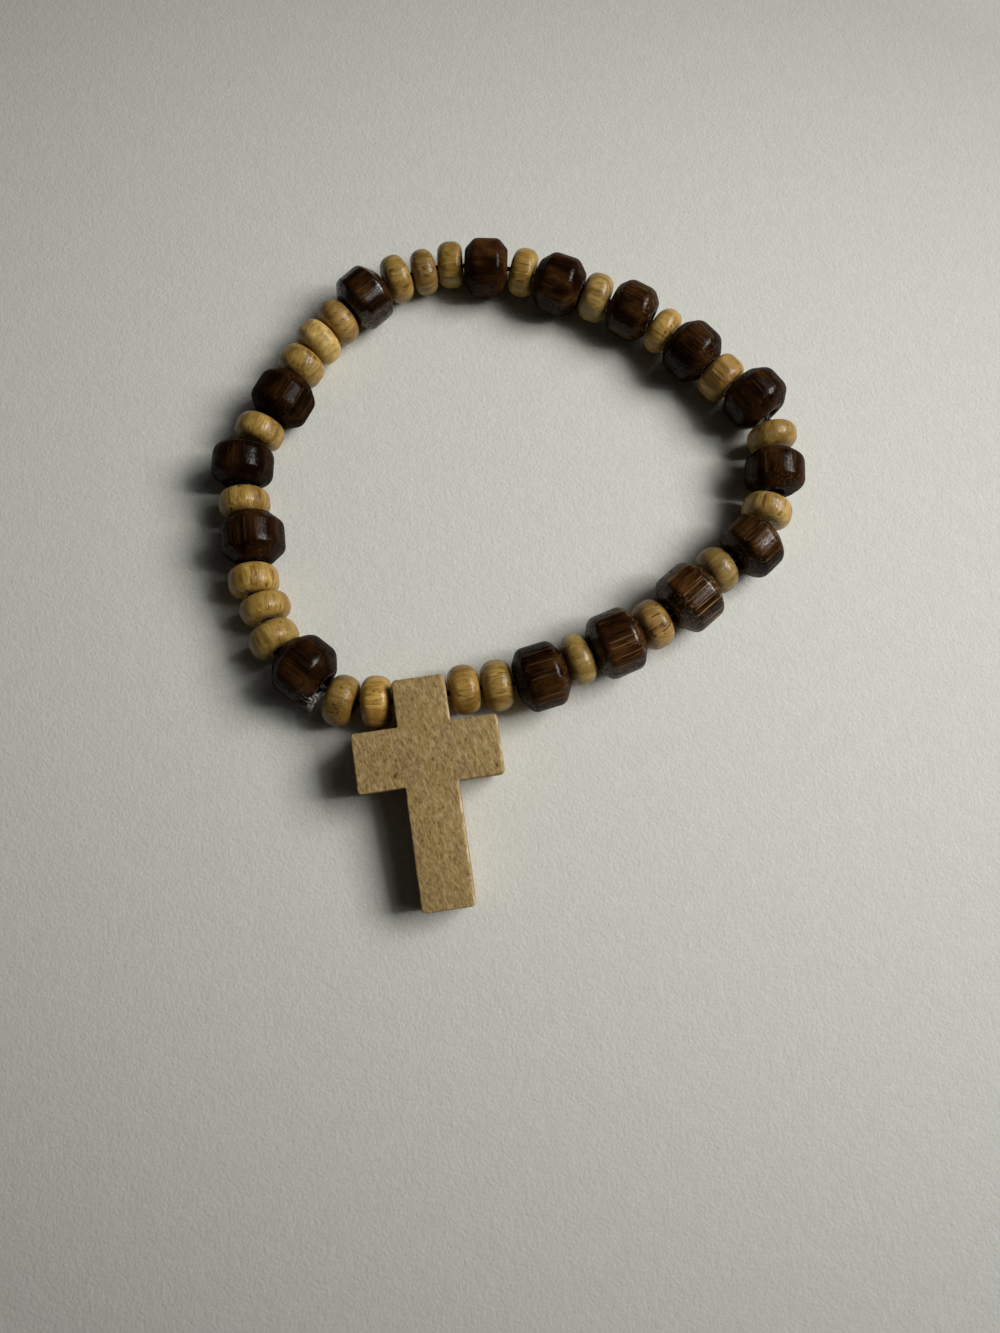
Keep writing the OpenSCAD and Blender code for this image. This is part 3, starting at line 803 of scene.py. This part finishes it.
# Elastic
def smooth_path(points, steps, closed):
    """A smooth curve through the points."""
    count = len(points)
    out = []
    for i in range(count if closed else count - 1):
        if closed:
            a, b, c, d = (points[(i + k) % count] for k in (-1, 0, 1, 2))
        else:
            a, b, c, d = (points[min(max(i + k, 0), count - 1)] for k in (-1, 0, 1, 2))
        for k in range(steps):
            t = k / steps
            out.append(0.5 * (2 * b + (c - a) * t + (2 * a - 5 * b + 4 * c - d) * t * t
                              + (3 * b - a - 3 * c + d) * t ** 3))
    if not closed:
        out.append(points[-1].copy())
    return out


def directions(path, closed):
    """Forward, sideways and upward directions at each point of a path."""
    out = []
    for i, p in enumerate(path):
        a = path[i - 1] if closed or i else p
        b = path[(i + 1) % len(path)] if closed or i < len(path) - 1 else p
        forward = (b - a).normalized()
        side = Vector((0, 0, 1)).cross(forward)
        side = side.normalized() if side.length > 1e-3 else Vector((1, 0, 0))
        out.append((forward, side, forward.cross(side)))
    return out


def add_tube(verts, faces, path, radii, closed, sides=8, flat=1.0):
    """Adds a tube along a path to the lists. flat thins it from above to below."""
    first = len(verts)
    for p, r, (forward, side, up) in zip(path, radii, directions(path, closed)):
        for k in range(sides):
            a = 2 * math.pi * k / sides
            verts.append(p + r * math.cos(a) * side + flat * r * math.sin(a) * up)
    count = len(path)
    for i in range(count if closed else count - 1):
        j = (i + 1) % count
        for k in range(sides):
            m = (k + 1) % sides
            faces.append([first + i * sides + k, first + i * sides + m,
                          first + j * sides + m, first + j * sides + k])
    if not closed:
        faces.append([first + k for k in reversed(range(sides))])
        faces.append([first + (count - 1) * sides + k for k in range(sides)])


# The cord's twisted strands, in millimetres
STRANDS = 4
STRAND_R = 0.155
STRAND_OUT = 0.185
TWIST_LENGTH = 5.0
# The knot's middle, and its free ends as paths with a radius at each point, in millimetres
KNOT = Vector((-27.40, -16.15, 4.55))
RIBBONS = [
    ([(-27.45, -16.35, 4.5), (-27.85, -16.85, 4.4), (-28.10, -17.35, 4.15), (-28.22, -18.0, 3.7)],
     [0.22, 0.46, 0.36, 0.04]),
    ([(-27.35, -16.0, 4.6), (-27.22, -15.75, 4.75), (-27.1, -15.5, 4.8)], [0.18, 0.26, 0.10]),
]
HAIRS = [
    [(-27.5, -16.3, 4.8), (-27.75, -16.4, 5.6), (-28.10, -16.1, 6.0), (-28.45, -15.7, 6.15),
     (-28.95, -15.35, 5.9)],
    [(-27.5, -16.4, 4.7), (-27.85, -16.65, 5.2), (-28.25, -16.45, 5.5), (-28.6, -16.2, 5.35),
     (-28.8, -15.9, 5.5)],
    [(-27.6, -16.6, 4.4), (-28.2, -17.05, 4.6), (-28.75, -16.85, 4.5), (-29.3, -16.4, 4.3)],
    [(-27.7, -16.7, 4.3), (-28.3, -17.2, 4.2), (-28.95, -17.05, 3.9), (-29.35, -16.8, 3.5)],
    [(-27.2, -15.9, 4.8), (-26.85, -15.45, 5.4), (-26.45, -14.9, 5.6), (-26.2, -14.3, 5.5),
     (-26.45, -13.75, 5.6)],
    [(-27.2, -15.8, 4.7), (-26.95, -15.2, 5.2), (-26.6, -14.6, 5.2), (-26.5, -14.0, 5.0)],
    [(-27.3, -16.3, 4.2), (-27.35, -16.9, 3.8), (-27.7, -17.5, 3.5)],
]
RIBBON_STEPS = 5
RIBBON_FLAT = 0.35
HAIR_STEPS = 6
HAIR_R = 0.035
NECK_R = 0.2
KNOT_STRAND_R = 0.165
# The knot's loops: their radius, how much longer they are than wide, and half their height
KNOT_R = 0.19
KNOT_LONG = 1.1
KNOT_HALF_H = 0.24
KNOT_STEPS = 90


def knot_curve():
    """An overhand knot about KNOT, drawn as a closed curve."""
    out = []
    for k in range(KNOT_STEPS):
        t = 2 * math.pi * k / KNOT_STEPS
        r = KNOT_R * (2.0 + math.cos(3 * t))
        turn = Vector((r * math.cos(2 * t), r * math.sin(2 * t) * KNOT_LONG, KNOT_HALF_H * math.sin(3 * t)))
        out.append(KNOT + turn)
    return out


def between(radii, steps):
    """The radii at all points of a path that has so many steps from one given radius to the next."""
    out = []
    for a, b in zip(radii, radii[1:]):
        out += [a * (1 - k / steps) + b * k / steps for k in range(steps)]
    return out + [radii[-1]]


def add_elastic(frames, hole):
    """The cord as a bundle of strands through every bead and the cross, with its knot and loose ends."""
    stops = [hole]
    ends = []
    for i, (middle, angle, length, _) in enumerate(frames):
        along = Vector((math.cos(angle), math.sin(angle), 0.0))
        ahead = frames[i + 1][0] if i + 1 < len(frames) else hole * MM
        behind = frames[i - 1][0] if i else hole * MM
        if along.dot(ahead - behind) < 0:
            along = -along
        ends.append(((middle - along * length / 2) / MM, middle / MM, (middle + along * length / 2) / MM))
    side = Vector((LONG_BAR_W / 2, 0, 0))
    stops.append((hole - side + ends[0][0]) / 2)
    for this, following in zip(ends, ends[1:]):
        stops += [this[1], (this[2] + following[0]) / 2]
    stops += [ends[-1][1], (ends[-1][2] + hole + side) / 2]
    middle_line = smooth_path(stops, 4, True)
    total = sum((b - a).length for a, b in zip(middle_line, middle_line[1:] + middle_line[:1]))
    turns = round(total / TWIST_LENGTH)
    axes = directions(middle_line, True)
    verts, faces = [], []
    for s in range(STRANDS):
        path = []
        for i, (p, (_, aside, up)) in enumerate(zip(middle_line, axes)):
            a = 2 * math.pi * (s / STRANDS + turns * i / len(middle_line))
            path.append(p + STRAND_OUT * (math.cos(a) * aside + math.sin(a) * up))
        add_tube(verts, faces, path, [STRAND_R] * len(path), True, 6)
    root = (ends[1][2] + ends[2][0]) / 2
    neck = smooth_path([root, root.lerp(KNOT, 0.5) + Vector((0, 0, 0.2)), KNOT], 5, False)
    add_tube(verts, faces, neck, [NECK_R] * len(neck), False)
    knot = knot_curve()
    add_tube(verts, faces, knot, [KNOT_STRAND_R] * len(knot), True)
    for points, radii in RIBBONS:
        path = smooth_path([Vector(p) for p in points], RIBBON_STEPS, False)
        add_tube(verts, faces, path, between(radii, RIBBON_STEPS), False, 10, RIBBON_FLAT)
    for points in HAIRS:
        path = smooth_path([Vector(p) for p in points], HAIR_STEPS, False)
        add_tube(verts, faces, path, [HAIR_R] * len(path), False, 6)
    mesh = bpy.data.meshes.new("elastic_strands")
    mesh.from_pydata(verts, [], faces)
    mesh.update()
    mesh.transform(Matrix.Scale(MM, 4))
    add_piece("elastic_strands", mesh, elastic("elastic_rubber"), "elastic_cord")


# Paper and light
PAPER_HALF = 0.9
LIGHT_TARGET = Vector((0.0, 0.0, 0.004))
LIGHT_AWAY = 0.52
LIGHT_COLOUR = (1.0, 0.985, 0.955)
# Each light: name, degrees round from +X, degrees up, width, height and watts
LIGHTS = [
    ("window", 6, 43.5, 0.28, 0.22, 1.95),
    ("window_strip", -11, 42, 0.05, 0.20, 0.33),
    ("window_haze", 8, 45, 0.54, 0.36, 0.80),
]
ROOM_COLOUR = (1.0, 0.97, 0.92, 1.0)
ROOM_STRENGTH = 0.013
# Painted shade: the paper is painted darker away from its middle, as an ellipse, for the light falling off
# towards
# its edges: middle, turn and the two half lengths, in millimetres, and how bright its darkest part is
PAPER_SHADE_MIDDLE = (2.6, -3.6)
PAPER_SHADE_TURN = math.radians(-22)
PAPER_SHADE_REACH = (246.0, 165.0)
PAPER_SHADE_DARKEST = 0.65
PAPER_LOW = (0.757, 0.764, 0.708)
PAPER_HIGH = (0.790, 0.797, 0.740)
PAPER_MOTTLE = (0.715, 0.724, 0.672)
PAPER_FIBRE = (0.69, 0.70, 0.648)


def add_paper():
    mesh = bpy.data.meshes.new("paper")
    s = PAPER_HALF
    mesh.from_pydata([(-s, -s, 0), (s, -s, 0), (s, s, 0), (-s, s, 0)], [], [(0, 1, 2, 3)])
    paper = bpy.data.objects.new("paper", mesh)
    bpy.context.scene.collection.objects.link(paper)
    g = Graph("paper")
    p = own_millimetres(g, Vector((0, 0, 0)), Matrix.Identity(3))
    fibre = g.noise(p, 2.6, 3.0, 0.6)
    mottle = g.noise(p, 1.0, 2.0, 0.6)
    cloud = g.noise(p, 0.35, 3.0, 0.55)
    colour = g.mix(g.band(cloud, 0.3, 0.7), PAPER_LOW, PAPER_HIGH)
    colour = g.mix(g.math("MULTIPLY", g.band(mottle, 0.36, 0.66), 0.40), colour, PAPER_MOTTLE)
    colour = g.mix(g.math("MULTIPLY", g.band(fibre, 0.38, 0.68), 0.55), colour, PAPER_FIBRE)
    # Painted shade: the paper's colour is scaled down away from the ellipse's middle, no lower than its
    # darkest share
    shade_oval = g.node("ShaderNodeMapping", {"Vector": p}, vector_type="TEXTURE")
    shade_oval.inputs["Location"].default_value = (*PAPER_SHADE_MIDDLE, 0.0)
    shade_oval.inputs["Rotation"].default_value = (0.0, 0.0, PAPER_SHADE_TURN)
    shade_oval.inputs["Scale"].default_value = (*PAPER_SHADE_REACH, 1.0)
    out = g.node("ShaderNodeVectorMath", {0: shade_oval.outputs[0], 1: shade_oval.outputs[0]}, operation="DOT_PRODUCT")
    share = g.math("MAXIMUM", g.math("SUBTRACT", 1.0, out.outputs["Value"]), PAPER_SHADE_DARKEST)
    colour = g.node("ShaderNodeVectorMath", {0: colour, "Scale": share}, operation="SCALE").outputs[0]
    height = g.math("ADD", fibre, g.math("MULTIPLY", mottle, 0.8))
    mesh.materials.append(g.surface(Base_Color=colour, Roughness=0.9, Normal=g.bump(height, 0.8, 0.09 * MM)))


def add_lights():
    for name, azimuth, height, width, tall, watts in LIGHTS:
        around, up = math.radians(azimuth), math.radians(height)
        away = Vector((math.cos(around) * math.cos(up), math.sin(around) * math.cos(up), math.sin(up)))
        data = bpy.data.lights.new(name, "AREA")
        data.shape = "RECTANGLE"
        data.size, data.size_y = width, tall
        data.energy = watts
        data.color = LIGHT_COLOUR
        light = bpy.data.objects.new(name, data)
        light.location = LIGHT_TARGET + away * LIGHT_AWAY
        light.rotation_euler = away.to_track_quat("Z", "Y").to_euler()
        bpy.context.scene.collection.objects.link(light)
    world = bpy.data.worlds.new("room")
    bpy.context.scene.world = world
    world.use_nodes = True
    background = world.node_tree.nodes["Background"]
    background.inputs["Color"].default_value = ROOM_COLOUR
    background.inputs["Strength"].default_value = ROOM_STRENGTH


add_camera()
add_paper()
add_lights()
bead_frames = add_beads()
cross_hole = add_cross()
add_elastic(bead_frames, cross_hole)
bpy.context.scene.view_settings.view_transform = "Standard"
